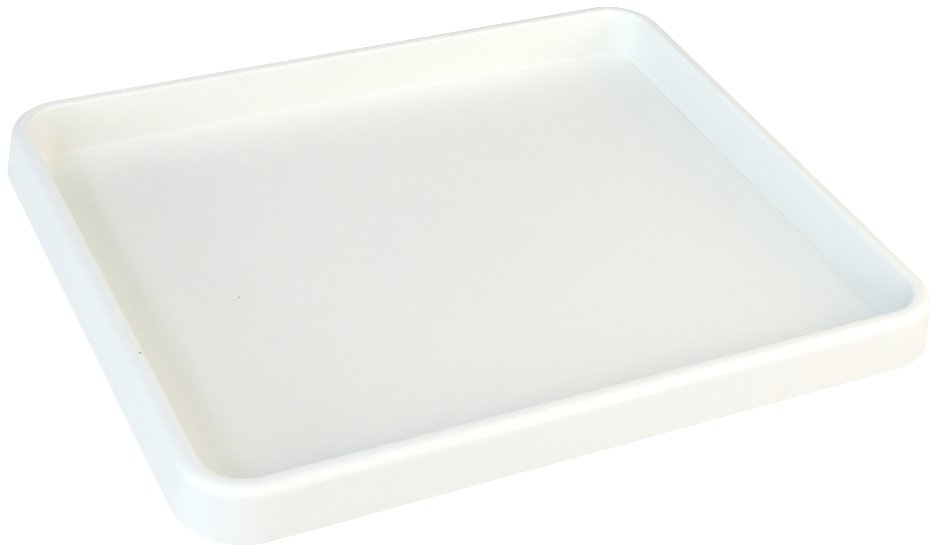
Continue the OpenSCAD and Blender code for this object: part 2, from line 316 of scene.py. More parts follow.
def hexagon(low, high, across, chamfer_low, chamfer_high, bore=0.0):
    """A hexagonal prism with its corners turned off at 30 degrees, and a bore if it has one."""
    flat = across / 2
    chamfer_angle = math.radians(30)
    corner = flat / math.cos(chamfer_angle)
    blunt = 0.12 * MM
    edge = 0.5 * MM
    middle = (low + high) / 2

    def turned_off(angle, radius, height):
        if radius < flat * 1.001:
            return radius, height
        side_angle = math.degrees(angle) % 60 - 30
        reach = min(flat / math.cos(math.radians(side_angle)), corner - blunt)
        drop = (reach - flat) * math.tan(chamfer_angle)
        if height < middle:
            return reach, low + drop * chamfer_low
        return reach, high - drop * chamfer_high

    if bore:
        inside = [(bore, high - edge), (bore, low + edge), (bore + edge, low)]
        outline = inside + [(flat, low), (corner, low), (corner, high), (flat, high), (bore + edge, high)]
    else:
        outline = [(0, low), (flat, low), (corner, low), (corner, high), (flat, high), (0, high)]
    return lathe("hexagon", outline, 96, turned_off)


def split_ring(inner, outer, low, high, gap, rise, skew):
    """A ring cut through at the X axis, whose ends stand a little apart in height, with a slanted cut."""
    thickness = high - low - rise
    edge = 0.25 * MM
    section = rounded([(inner, 0, edge), (outer, 0, edge),
                       (outer, thickness, edge), (inner, thickness, edge)], 3)
    start = math.asin(gap / 2 / inner)
    steps = 120
    count = len(section)
    vertices = []
    for i in range(steps + 1):
        for radius, height in section:
            lean = (height / thickness - 0.5) * skew
            angle = start + lean + (2 * math.pi - 2 * start) * i / steps
            vertices.append((radius * math.cos(angle), radius * math.sin(angle),
                             low + height + rise * i / steps))
    faces = [tuple(range(count)), tuple(range(steps * count, (steps + 1) * count))]
    for i in range(steps):
        faces += between_rings(i * count, (i + 1) * count, count)
    return mesh_from("split_ring", vertices, faces)


def prism(outline, thickness, edge):
    """An outline in (x, z) given a thickness along Y, with its edges rounded."""
    half = thickness / 2
    count = len(outline)
    vertices = [(x, side * half, z) for side in (-1, 1) for x, z in outline]
    faces = [tuple(range(count)), tuple(range(2 * count - 1, count - 1, -1))]
    faces += between_rings(0, count, count)
    mesh = mesh_from("prism", vertices, faces)
    work = bmesh.new()
    work.from_mesh(mesh)
    bmesh.ops.bevel(work, geom=work.edges[:], offset=edge, segments=2, profile=0.5, affect="EDGES")
    work.to_mesh(mesh)
    work.free()
    return mesh


# ---- material helpers

def principled(name):
    """A new material, its node tree and its shader."""
    material = bpy.data.materials.new(name)
    material.use_nodes = True
    tree = material.node_tree
    return material, tree, tree.nodes["Principled BSDF"]


def add(tree, kind, **inputs):
    """A new node with some of its inputs set. A capital first letter is an input, the rest are properties."""
    node = tree.nodes.new(kind)
    for key, value in inputs.items():
        if key[0].isupper():
            node.inputs[key.replace("_", " ")].default_value = value
        else:
            setattr(node, key, value)
    return node


def noise_at(tree, scale, detail, roughness, source=None):
    """A noise value in the object's own coordinates: scale is in features per metre."""
    node = add(tree, "ShaderNodeTexNoise", Scale=scale, Detail=detail, Roughness=roughness)
    if source is None:
        source = coordinates(tree)
    tree.links.new(source, node.inputs["Vector"])
    return node.outputs["Fac"]


def feed(tree, socket, value):
    """Gives an input its value, which may be a number, a vector or another node's socket."""
    if isinstance(value, bpy.types.NodeSocket):
        tree.links.new(value, socket)
    else:
        socket.default_value = value


def calculated(tree, operation, *values, kind="ShaderNodeMath"):
    """The result of a maths node with some of its inputs given."""
    node = add(tree, kind, operation=operation)
    for socket, value in zip(node.inputs, values):
        feed(tree, socket, value)
    return node.outputs[0]


def coordinates(tree):
    """The object coordinates of a tree, made once."""
    found = tree.nodes.get("object_coordinates")
    if found is None:
        found = tree.nodes.new("ShaderNodeTexCoord")
        found.name = "object_coordinates"
    return found.outputs["Object"]


def stretched(tree, x, y, z):
    """The object coordinates, scaled along each axis."""
    node = add(tree, "ShaderNodeMapping", Scale=(x, y, z))
    tree.links.new(coordinates(tree), node.inputs["Vector"])
    return node.outputs["Vector"]


def ramp(tree, source, low, high, start=0.0, end=1.0):
    """Maps a value from one range onto another, smoothly, and holds it there."""
    node = add(tree, "ShaderNodeMapRange", interpolation_type="SMOOTHSTEP")
    for socket, value in zip(("From Min", "From Max", "To Min", "To Max"), (low, high, start, end)):
        node.inputs[socket].default_value = value
    tree.links.new(source, node.inputs["Value"])
    return node.outputs["Result"]


def mixed(tree, factor, first, second):
    """A colour between two, by a factor. Each may be a colour or a socket."""
    node = add(tree, "ShaderNodeMix", data_type="RGBA")
    tree.links.new(factor, node.inputs["Factor"])
    colour_inputs = node.inputs[6:8]
    for socket, value in zip(colour_inputs, (first, second)):
        feed(tree, socket, (*value, 1) if isinstance(value, tuple) else value)
    return node.outputs[2]


def surface(tree, shader, colour, roughness, bumps):
    """Gives a shader its colour, its roughness and its layers of bump, the last one on top. Each layer is
    (height, depth in metres, strength)."""
    tree.links.new(colour, shader.inputs["Base Color"])
    tree.links.new(roughness, shader.inputs["Roughness"])
    normal = None
    for height, distance, strength in bumps:
        node = add(tree, "ShaderNodeBump", Strength=strength, Distance=distance)
        tree.links.new(height, node.inputs["Height"])
        if normal is not None:
            tree.links.new(normal, node.inputs["Normal"])
        normal = node.outputs["Normal"]
    tree.links.new(normal, shader.inputs["Normal"])


# ---- materials

def tray_plastic():
    """Off-white satin polyethylene: faint mottle, fine moulded skin, two dark specks and dull scuffs."""
    material, tree, shader = principled("tray_plastic")
    shader.inputs["IOR"].default_value = 1.5
    shader.inputs["Subsurface Weight"].default_value = 0.3
    shader.inputs["Subsurface Radius"].default_value = (1.0, 0.9, 0.75)
    shader.inputs["Subsurface Scale"].default_value = 2.5 * MM
    mottle = noise_at(tree, 220, 3, 0.6)
    cloud = noise_at(tree, 9, 2, 0.5)
    base = mixed(tree, ramp(tree, mottle, 0.35, 0.65), (0.793, 0.805, 0.777), (0.800, 0.812, 0.784))
    base = mixed(tree, ramp(tree, cloud, 0.3, 0.7, 0.0, 0.3), base, (0.805, 0.815, 0.792))
    speck_colour = (0.42, 0.38, 0.30)
    for place, radius in SPECKS:
        away = add(tree, "ShaderNodeVectorMath", operation="DISTANCE")
        feed(tree, away.inputs[0], coordinates(tree))
        feed(tree, away.inputs[1], place)
        factor = ramp(tree, away.outputs["Value"], 0.45 * radius, radius, 1.0, 0.0)
        base = mixed(tree, factor, base, speck_colour)
    scuff = noise_at(tree, 40, 6, 0.7, stretched(tree, 1, 6, 1))
    skin = noise_at(tree, 900, 2, 0.5)
    wave = noise_at(tree, 60, 2, 0.5)
    surface(tree, shader, base, ramp(tree, scuff, 0.4, 0.75, 0.40, 0.50),
            [(wave, 0.1 * MM, 0.05), (skin, 0.04 * MM, 0.2)])
    return material


def from_axis(tree):
    """The distance from the Z axis, as a socket."""
    flattened = calculated(tree, "MULTIPLY", coordinates(tree), (1, 1, 0), kind="ShaderNodeVectorMath")
    length = add(tree, "ShaderNodeVectorMath", operation="LENGTH")
    tree.links.new(flattened, length.inputs[0])
    return length.outputs["Value"]


def height_of(tree):
    """The height in the object's own coordinates, as a socket."""
    apart = tree.nodes.new("ShaderNodeSeparateXYZ")
    tree.links.new(coordinates(tree), apart.inputs[0])
    return apart.outputs["Z"]


def turned_lines(tree, across, along):
    """Noise drawn out round the Z axis, as turning or brushing leaves it: scales in features per metre."""
    rings = tree.nodes.new("ShaderNodeCombineXYZ")
    tree.links.new(from_axis(tree), rings.inputs["X"])
    tree.links.new(height_of(tree), rings.inputs["Y"])
    fine = calculated(tree, "MULTIPLY", rings.outputs["Vector"], (across, across, across),
                      kind="ShaderNodeVectorMath")
    drift = calculated(tree, "MULTIPLY_ADD", coordinates(tree), (along, along, along), fine,
                       kind="ShaderNodeVectorMath")
    return noise_at(tree, 1.0, 3, 0.6, drift)


# Each metal: its two tones, its least and most roughness, its grain per metre, the grain's depth, and
# whether the grain is drawn out round the axis
METALS = {
    "zinc_steel": ((0.52, 0.54, 0.57), (0.62, 0.63, 0.64), 0.22, 0.36, 1400, 0.015 * MM, False),
    "brass": ((0.56, 0.38, 0.13), (0.68, 0.49, 0.19), 0.24, 0.42, 3000, 0.02 * MM, True),
    "spring_steel": ((0.15, 0.16, 0.17), (0.26, 0.27, 0.28), 0.32, 0.50, 1200, 0.03 * MM, False),
    "cast_alloy": ((0.42, 0.43, 0.44), (0.50, 0.51, 0.52), 0.46, 0.60, 1800, 0.10 * MM, False),
    "ferrule_steel": ((0.48, 0.49, 0.50), (0.56, 0.57, 0.58), 0.26, 0.42, 6000, 0.02 * MM, True),
}


def metal(name):
    """A metal of the table above, with patches of its two tones, uneven roughness and a fine grain."""
    dark, light, smoothest, roughest, grain, depth, drawn_out = METALS[name]
    material, tree, shader = principled(name)
    shader.inputs["Metallic"].default_value = 1.0
    patches = noise_at(tree, grain * 0.25, 4, 0.6)
    skin = turned_lines(tree, grain, grain * 0.01) if drawn_out else noise_at(tree, grain, 3, 0.6)
    handling = noise_at(tree, 70, 5, 0.7)
    wear = calculated(tree, "MULTIPLY_ADD", skin, 0.6, ramp(tree, handling, 0.35, 0.7, 0.0, 0.35))
    surface(tree, shader, mixed(tree, ramp(tree, patches, 0.35, 0.65), dark, light),
            ramp(tree, wear, 0.15, 0.75, smoothest, roughest), [(skin, depth, 0.35)])
    return material


def guard_foam():
    """Dark closed-cell foam: small open cells all over its cut skin, painted darker inside as shade, with
    paler rubbed places.
    """
    material, tree, shader = principled("guard_foam")
    shader.inputs["Specular IOR Level"].default_value = 0.25
    cells = add(tree, "ShaderNodeTexVoronoi", Scale=2300, Randomness=1.0)
    tree.links.new(coordinates(tree), cells.inputs["Vector"])
    rub = noise_at(tree, 55, 5, 0.7)
    pore_and_painted_shade = ramp(tree, cells.outputs["Distance"], 0.15, 0.55, 1.0, 0.0)
    base = mixed(tree, ramp(tree, rub, 0.4, 0.75), (0.026, 0.031, 0.037), (0.046, 0.052, 0.059))
    lumps = noise_at(tree, 160, 3, 0.5)
    # The pore mask paints the inside of each cell darker, as painted shade, and also presses the cells in as
    # a bump.
    surface(tree, shader, mixed(tree, pore_and_painted_shade, base, (0.015, 0.018, 0.022)),
            ramp(tree, rub, 0.3, 0.7, 0.82, 0.95), [(lumps, 0.4 * MM, 0.25), (pore_and_painted_shade, -0.15 * MM, 0.6)])
    return material


def black_nylon():
    """Black nylon with a fine spark-eroded skin, rubbed smoother and paler in places."""
    material, tree, shader = principled("black_nylon")
    skin = noise_at(tree, 1500, 3, 0.6)
    rub = noise_at(tree, 45, 6, 0.7)
    base = mixed(tree, ramp(tree, rub, 0.45, 0.75), (0.011, 0.012, 0.013), (0.026, 0.027, 0.028))
    surface(tree, shader, base, ramp(tree, rub, 0.35, 0.7, 0.58, 0.40), [(skin, 0.06 * MM, 0.5)])
    return material


def above_barrel(tree):
    """How far a point of the grip stands out from its barrel curve: 0 on the pads, less in the grooves."""
    share = calculated(tree, "MULTIPLY_ADD", height_of(tree),
                       2 / barrel_length, -2 * barrel_middle / barrel_length)
    squared = calculated(tree, "POWER", share, 2)
    barrel = calculated(tree, "MULTIPLY_ADD", squared, -BARREL_BULGE, grip_high.x)
    return calculated(tree, "SUBTRACT", from_axis(tree), barrel)


def grip_rubber():
    """Matt rubber: pale mortar dust stays in the grooves, and the pads are rubbed smoother."""
    material, tree, shader = principled("grip_rubber")
    shader.inputs["Specular IOR Level"].default_value = 0.4
    pad = ramp(tree, above_barrel(tree), -0.75 * MM, -0.15 * MM)
    speckle = noise_at(tree, 900, 4, 0.6)
    dust = noise_at(tree, 150, 5, 0.7)
    base = mixed(tree, ramp(tree, speckle, 0.35, 0.65), (0.011, 0.012, 0.013), (0.019, 0.020, 0.022))
    dusty = mixed(tree, ramp(tree, dust, 0.35, 0.75, 0.15, 0.65), base, (0.17, 0.16, 0.145))
    rub = noise_at(tree, 60, 4, 0.6)
    worn = ramp(tree, rub, 0.35, 0.7, 0.60, 0.45)
    dull = ramp(tree, pad, 0, 1, 0.30, 0.0)
    surface(tree, shader, mixed(tree, pad, dusty, base), calculated(tree, "ADD", worn, dull),
            [(speckle, 0.08 * MM, 0.4)])
    return material


# Where the two dark specks in the plastic are, and their radii
SPECKS = [
    (Vector((-0.1056, -0.0031, floor_top_z)), 0.7 * MM),
    (Vector((-0.1651, -0.0510, tray_high.z)), 0.8 * MM),
]


# ---- tray

# The way from the tray's middle to each corner, going round
CORNERS = ((1, 1), (-1, 1), (-1, -1), (1, -1))

OUTER_SLOPE = OUTER_LEAN / LIP_HEIGHT
INNER_SLOPE = (FLOOR_REACH - LIP_REACH) / (LIP_HEIGHT - FLOOR_RISE)
OUTER_STRETCH = math.hypot(1, OUTER_SLOPE)
INNER_STRETCH = math.hypot(1, INNER_SLOPE)
OUTER_TILT = math.degrees(math.atan(OUTER_SLOPE))
INNER_TILT = math.degrees(math.atan(INNER_SLOPE))


def outer_face(up):
    """How far in from the skirt the outer wall's face is at a height above the skirt."""
    return up * OUTER_SLOPE


def inner_face(up):
    """How far in from the skirt the inner wall's face is at a height above the skirt."""
    return LIP_REACH + (LIP_HEIGHT - up) * INNER_SLOPE


def tray_section():
    """The tray's section from its floor, over the lip, down the skirt, and back below the floor: (in, up)."""
    edge = 0.8 * MM
    hollow_round = 1.05 * MM
    hollow_outer = WALL * OUTER_STRETCH
    hollow_inner = WALL * INNER_STRETCH
    underside = FLOOR_RISE - FLOOR_THICKNESS
    height = FLOOR_RISE + FLOOR_ROUND
    floor_fillet = (inner_face(height) + FLOOR_ROUND * INNER_STRETCH, height)
    height = LIP_HEIGHT - LIP_INNER_ROUND
    inner_round = (inner_face(height) - LIP_INNER_ROUND * INNER_STRETCH, height)
    height = LIP_HEIGHT - LIP_OUTER_ROUND
    outer_round = (outer_face(height) + LIP_OUTER_ROUND * OUTER_STRETCH, height)
    skirt_out = (outer_face(edge) + edge * OUTER_STRETCH, edge)
    skirt_in = (outer_face(edge) + hollow_outer - edge * OUTER_STRETCH, edge)
    spare = (LIP_REACH + LIP_HEIGHT * INNER_SLOPE - hollow_inner - hollow_outer
             - hollow_round * (INNER_STRETCH + OUTER_STRETCH))
    height = spare / (OUTER_SLOPE + INNER_SLOPE)
    hollow_top = (outer_face(height) + hollow_outer + hollow_round * OUTER_STRETCH, height)
    height = underside + edge
    floor_corner = (inner_face(height) - hollow_inner + edge * INNER_STRETCH, height)
    stretches = [
        [(SWEEP_REACH, FLOOR_RISE)],
        arc(floor_fillet, FLOOR_ROUND, 270, 180 + INNER_TILT, 10),
        arc(inner_round, LIP_INNER_ROUND, INNER_TILT, 90, 7),
        arc(outer_round, LIP_OUTER_ROUND, 90, 180 - OUTER_TILT, 14),
        arc(skirt_out, edge, 180 - OUTER_TILT, 270, 5),
        arc(skirt_in, edge, 270, 360 - OUTER_TILT, 5),
        arc(hollow_top, hollow_round, 180 - OUTER_TILT, INNER_TILT, 8),
        arc(floor_corner, edge, 180 + INNER_TILT, 270, 5),
        [(SWEEP_REACH, underside)],
    ]
    steps_between = [2, 5, 1, 6, 1, 6, 6, 2]
    points = list(stretches[0])
    for following, steps in zip(stretches[1:], steps_between):
        points += run(points[-1], following[0], steps)
        points += following
    return points


def rim_path(corner_steps=20, side_step=11 * MM):
    """Points round the tray: each is a corner's centre, or a place between two, and the way out from it."""
    centres = [Vector((x * corner_x, y * corner_y)) for x, y in CORNERS]
    path = []
    for quarter, centre in enumerate(centres):
        for i in range(corner_steps + 1):
            angle = math.radians(90 * (quarter + i / corner_steps))
            outward = Vector((math.cos(angle), math.sin(angle)))
            path.append((centre, outward))
        following = centres[(quarter + 1) % 4]
        steps = round((following - centre).length / side_step)
        path += [(centre.lerp(following, i / steps), outward) for i in range(1, steps)]
    return path


def tray_shell():
    """The tray's moulding without its ribs: the section swept round the rim, its floor closed inside."""
    section = tray_section()
    path = rim_path()
    around = len(path)
    vertices = []
    faces = []
    for reach, up in section:
        for core, outward in path:
            place = core + outward * (CORNER_RADIUS - reach)
            vertices.append((place.x, place.y, skirt_z + up))
    for ring in range(len(section) - 1):
        faces += between_rings(ring * around, (ring + 1) * around, around)
    rings = 16
    for start in (0, (len(section) - 1) * around):
        previous = start
        height = vertices[start][2]
        for step in range(1, rings):
            share = 1 - step / rings
            first = len(vertices)
            vertices += [(vertices[start + i][0] * share, vertices[start + i][1] * share, height)
                         for i in range(around)]
            faces += between_rings(previous, first, around)
            previous = first
        middle = len(vertices)
        vertices.append((0, 0, height))
        faces += [(previous + i, previous + (i + 1) % around, middle) for i in range(around)]
    return mesh_from("tray_shell", vertices, faces)


HUB_RING_RADIUS = 44 * MM
RIB_THICKNESS = 2.4 * MM
RIB_EDGE = 0.35 * MM
SINK = 0.5 * MM    # how far a rib or boss reaches into what it stands on


def floor_ribs():
    """The ribs below the floor, from the hub ring out to near the lip."""
    margin = 15 * MM
    end_depth = 2.5 * MM
    end_slant = 1.5 * MM
    corner_angle = math.degrees(math.atan2(corner_y, corner_x))
    corner_reach = math.hypot(corner_x, corner_y) + CORNER_RADIUS - margin
    hub_depth = floor_bottom_z - plate_high.z
    start = HUB_RING_RADIUS - 1.5 * MM
    meshes = []
    for turn in (0, 180):
        for angle, reach in ((0, half_length - margin), (90, half_width - margin),
                             (corner_angle, corner_reach), (-corner_angle, corner_reach)):
            outline = [(start, floor_bottom_z + SINK), (start, floor_bottom_z - hub_depth + 0.1 * MM),
                       (reach - end_slant, floor_bottom_z - end_depth), (reach, floor_bottom_z + SINK)]
            meshes.append(turned(prism(outline, RIB_THICKNESS, RIB_EDGE), turn + angle))
    return joined(meshes)


def lip_gussets():
    """The plates that cross the hollow lip."""
    spacing = 42 * MM
    low = 5 * MM
    high = LIP_HEIGHT - WALL
    outer_skin = WALL * OUTER_STRETCH - SINK
    inner_skin = WALL * INNER_STRETCH - SINK
    outline = [(-(outer_face(low) + outer_skin), skirt_z + low),
               (-(outer_face(high) + outer_skin), skirt_z + high),
               (-(inner_face(high) - inner_skin), skirt_z + high),
               (-(inner_face(low) - inner_skin), skirt_z + low)]
    plate = prism([(CORNER_RADIUS + x, z) for x, z in outline], 2.0 * MM, 0.25 * MM)
    meshes = []
    for turn, reach, length in ((0, corner_x, 2 * corner_y), (90, corner_y, 2 * corner_x),
                                (180, corner_x, 2 * corner_y), (270, corner_y, 2 * corner_x)):
        count = math.ceil(length / spacing)
        for step in range(count + 1):
            place = Matrix.Translation((reach, length * (step / count - 0.5), 0))
            meshes.append(turned(moved(plate, place), turn))
    for x, y in CORNERS:
        at_corner = Matrix.Translation((x * corner_x, y * corner_y, 0))
        meshes.append(moved(turned(plate, math.degrees(math.atan2(y, x))), at_corner))
    return joined(meshes)


def hub_ring():
    """The ring that the mounting plate seats on, and the boss that holds the bolt's head down."""
    edge = 0.3 * MM
    top = floor_bottom_z + SINK
    inner = HUB_RING_RADIUS - WALL
    boss_radius = 15 * MM
    ring = lathe("hub_ring", rounded([(inner, plate_high.z, edge), (HUB_RING_RADIUS, plate_high.z, edge),
                                      (HUB_RING_RADIUS, top, edge), (inner, top, edge)]), 160)
    head_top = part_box("handle_bolt")[1].z
    boss = lathe("head_boss", rounded([(0, head_top, 0), (boss_radius, head_top, edge),
                                       (boss_radius, top, edge), (0, top, 0)]), 96)
    return joined([ring, boss])


def screw_bosses():
    """The four bosses of the tray, with their blind pockets."""
    low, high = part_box("boss_inserts")
    pocket = 3.5 * MM
    outer = 7 * MM
    edge = 0.3 * MM
    top = floor_bottom_z + SINK
    outline = ([(pocket, low.z)] + arc((outer - edge, low.z + edge), edge, -90, 0, 3)
               + [(outer, top), (0, top), (0, high.z), (pocket, high.z)])
    boss = lathe("boss", outline, 64)
    return turned_copies(moved_out(boss, high.x - pocket), 4)


def warp(mesh):
    """Moves a moulding's points inwards and down by up to 0.35 mm, as it warps when it cools."""
    flat_list = np.empty(len(mesh.vertices) * 3)
    mesh.vertices.foreach_get("co", flat_list)
    points = flat_list.reshape(-1, 3)
    hub_radius = 55 * MM    # the hub stays true, for the plate
    fade = 50 * MM
    for point in points:
        wave = noise.noise(Vector((point[0] * 9, point[1] * 9, 3.1)))
        ripple = noise.noise(Vector((point[0] * 28, point[1] * 28, point[2] * 10 + 7.7)))
        reach = max(abs(point[0]) / half_length, abs(point[1]) / half_width)
        inward = 0.12 * MM * (1 + wave) + 0.05 * MM * (1 + ripple)
        share = min(1.0, max(0.0, (math.hypot(point[0], point[1]) - hub_radius) / fade))
        scale = 1 - inward * share * reach / half_length
        point[0] *= scale
        point[1] *= scale
        point[2] -= share * (0.10 * MM * (1 + wave) + 0.04 * MM * (1 + ripple))
    mesh.vertices.foreach_set("co", points.ravel())
    mesh.update()


def tray_mesh():
    """The tray: its shell with the hub, bosses, ribs and gussets moulded on."""
    mesh = union(tray_shell(), [hub_ring(), screw_bosses(), floor_ribs(), lip_gussets()])
    tidy(mesh, 1e-6)
    warp(mesh)
    return mesh


# ---- fixings

BOLT_RADIUS = 5 * MM
BOLT_PITCH = 1.5 * MM
BOLT_HOLE = 5.5 * MM    # in the guard and the ferrule
HEX_ACROSS = 16 * MM
HEX_GAP = 0.2 * MM
HEAD_HEIGHT = 6.4 * MM
SCREW_RADIUS = 35 * MM    # of the circle that the plate's screws stand on


def bolt_mesh():
    """The handle bolt: a turned hexagon head and an M10 thread along its whole shaft."""
    low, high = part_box("handle_bolt")
    seat = high.z - HEAD_HEIGHT
    head = hexagon(seat, high.z, HEX_ACROSS, False, True)
    shaft = threaded_shaft(low.z, seat + SINK, BOLT_RADIUS, BOLT_PITCH, 1.2 * MM)
    return union(head, [shaft])


def jam_nut_mesh():
    """The thin nut on the bolt, below the plate."""
    low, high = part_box("jam_nut")
    return hexagon(low.z, high.z, HEX_ACROSS, True, True, BOLT_RADIUS + 0.05 * MM)


def lock_washer_mesh():
    """The spring washer between plate and nut, with its split ends a little apart."""
    low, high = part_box("lock_washer")
    return split_ring(BOLT_RADIUS + 0.15 * MM, high.y, low.z, high.z, 1.6 * MM, 0.15 * MM, 0.12)


def mounting_plate_mesh():
    """The cast plate: a ribbed hub with a seat for the nut, four screw holes, a pocket for the bolt's head
    and four marks of the pins that pushed it out of its die."""
    hub_face = plate_low.z
    top = plate_high.z
    bottom = hub_face + 6 * MM
    nut_seat = hub_face + 3 * MM
    outer = plate_high.x
    bolt_hole = BOLT_RADIUS + 0.25 * MM
    nut_room = 12.5 * MM
    hub_radius = 18 * MM
    hub_foot = 23 * MM
    disc = lathe("plate_disc", rounded([
        (bolt_hole, nut_seat, 0.3 * MM), (nut_room, nut_seat, 0.8 * MM), (nut_room, hub_face, 0.5 * MM),
        (hub_radius, hub_face, 0.8 * MM), (hub_foot, bottom, 2 * MM), (outer, bottom, 1.2 * MM),
        (outer, top, 0.6 * MM), (bolt_hole, top, 0.3 * MM)], 5), 192)
    rib = prism([(hub_radius, bottom + SINK), (hub_radius + 1 * MM, bottom - 4 * MM),
                 (outer - 7 * MM, bottom - 1.5 * MM), (outer - 3 * MM, bottom + SINK)], 3 * MM, 0.6 * MM)
    below = bottom - 1 * MM
    above = top + 1 * MM
    hole = 2.75 * MM
    screw_hole = lathe("screw_hole", [(0, below), (hole + 1.4 * MM, below), (hole, bottom + 0.4 * MM),
                                      (hole, top - 0.3 * MM), (hole + 1.3 * MM, above), (0, above)], 64)
    mark_circle = 31 * MM
    mark_top = bottom + 0.18 * MM
    pin_mark = lathe("pin_mark", rounded([(0, below, 0), (2.6 * MM, below, 0),
                                          (2.5 * MM, mark_top, 0.1 * MM), (0, mark_top, 0)]), 48)
    pocket = hexagon(top - 2.5 * MM, above, HEX_ACROSS + HEX_GAP, False, False)
    return cut(union(disc, [turned_copies(rib, 8, 22.5)]),
               [turned_copies(moved_out(screw_hole, SCREW_RADIUS), 4), pocket,
                turned(turned_copies(moved_out(pin_mark, mark_circle), 4), 45)])


def screws_mesh():
    """Four M5 pan-head screws with a cross recess."""
    low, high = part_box("plate_screws")
    head_radius = 4.75 * MM
    dome_radius = 9.5 * MM
    head_top = low.z + 3.7 * MM
    edge = 0.2 * MM
    dome_steps = 8
    dome_reach = head_radius - 0.25 * MM
    outline = []
    for i in range(dome_steps + 1):
        radius = dome_reach * i / dome_steps
        outline.append((radius, low.z + dome_radius - math.sqrt(dome_radius ** 2 - radius ** 2)))
    outline += [(head_radius, outline[-1][1] + 0.3 * MM), (head_radius, head_top - edge),
                (head_radius - edge, head_top), (0, head_top)]
    head = lathe("pan_head", outline, 72)
    half_arm = [(2.8 * MM, low.z - 1 * MM), (2.6 * MM, low.z + 0.5 * MM), (1.1 * MM, low.z + 2 * MM)]
    arm = prism(half_arm + [(-x, z) for x, z in reversed(half_arm)], 1.3 * MM, 0.1 * MM)
    head = cut(head, [arm, turned(arm, 90)])
    shaft = threaded_shaft(0, high.z - head_top + 0.3 * MM, 2.5 * MM, 0.8 * MM, 0.6 * MM, 32)
    flipped = Matrix.Translation((0, 0, high.z)) @ Matrix.Rotation(math.pi, 4, "X")
    screw = union(head, [moved(shaft, flipped)])
    return turned_copies(moved_out(screw, SCREW_RADIUS), 4)


def screw_washers_mesh():
    """The flat washers under the screws' heads."""
    low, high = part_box("screw_washers")
    inner = 2.65 * MM
    outer = 5 * MM
    edge = 0.25 * MM
    ring = lathe("washer", rounded([(inner, low.z, edge), (outer, low.z, edge),
                                    (outer, high.z, edge), (inner, high.z, edge)]), 72)
    return turned_copies(moved_out(ring, SCREW_RADIUS), 4)


# ---- handle

def guard_mesh():
    """The foam guard: a cut ring with soft edges, pressed a little out of true."""
    low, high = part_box("callus_guard")
    outer = high.x
    middle = (low.z + high.z) / 2
    half = (high.z - low.z) / 2
    nut_room = 12 * MM
    room_floor = high.z - 5.5 * MM
    outline = filled(rounded([
        (BOLT_HOLE, low.z, 0.5 * MM), (outer, low.z, 3 * MM), (outer, high.z, 3 * MM),
        (nut_room, high.z, 1 * MM), (nut_room, room_floor, 0.5 * MM), (BOLT_HOLE, room_floor, 0.5 * MM)],
        6), 1.2 * MM)

    def pressed(angle, radius, height):
        place = Vector((radius * math.cos(angle), radius * math.sin(angle), height))
        uneven = 0.5 + 0.5 * noise.noise(place * 45)
        fine = 0.5 + 0.5 * noise.noise(place * 220)
        outwards = min(1, max(0, (radius - 13 * MM) / (10 * MM)))
        height -= (height - middle) / half * outwards * (0.30 * uneven + 0.06 * fine) * MM
        radius -= max(0, (radius - 30 * MM) / (8 * MM)) * (0.35 * uneven + 0.08 * fine) * MM
        return radius, height

    return lathe("callus_guard_foam", outline, 220, pressed)


def ferrule_mesh():
    """The pressed cap over the handle's top: a rolled bead, and six punch marks that hold it on."""
    low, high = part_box("ferrule")
    outer = high.x
    wall = 1.5 * MM
    top_round = 2.5 * MM
    bead_height = low.z + 3 * MM
    mark_height = low.z + 7 * MM
    outline = filled(rounded([
        (outer - wall, low.z, 0.4 * MM), (outer, low.z, 0.5 * MM), (outer, high.z, top_round),
        (BOLT_HOLE, high.z, 0.4 * MM), (BOLT_HOLE, high.z - wall, 0.3 * MM),
        (outer - wall, high.z - wall, 1 * MM)], 8), 0.4 * MM)

    def pressed(angle, radius, height):
        if radius < outer - 0.3 * MM or height > high.z - top_round - 0.1 * MM:
            return radius, height
        side_angle = math.remainder(angle, math.pi / 3)
        mark = bell(math.hypot(side_angle * outer, height - mark_height), 1.1 * MM)
        bead = bell(height - bead_height, 0.7 * MM)
        return radius - (0.55 * mark + 0.35 * bead) * MM, height

    return lathe("ferrule_pressed", outline, 240, pressed)


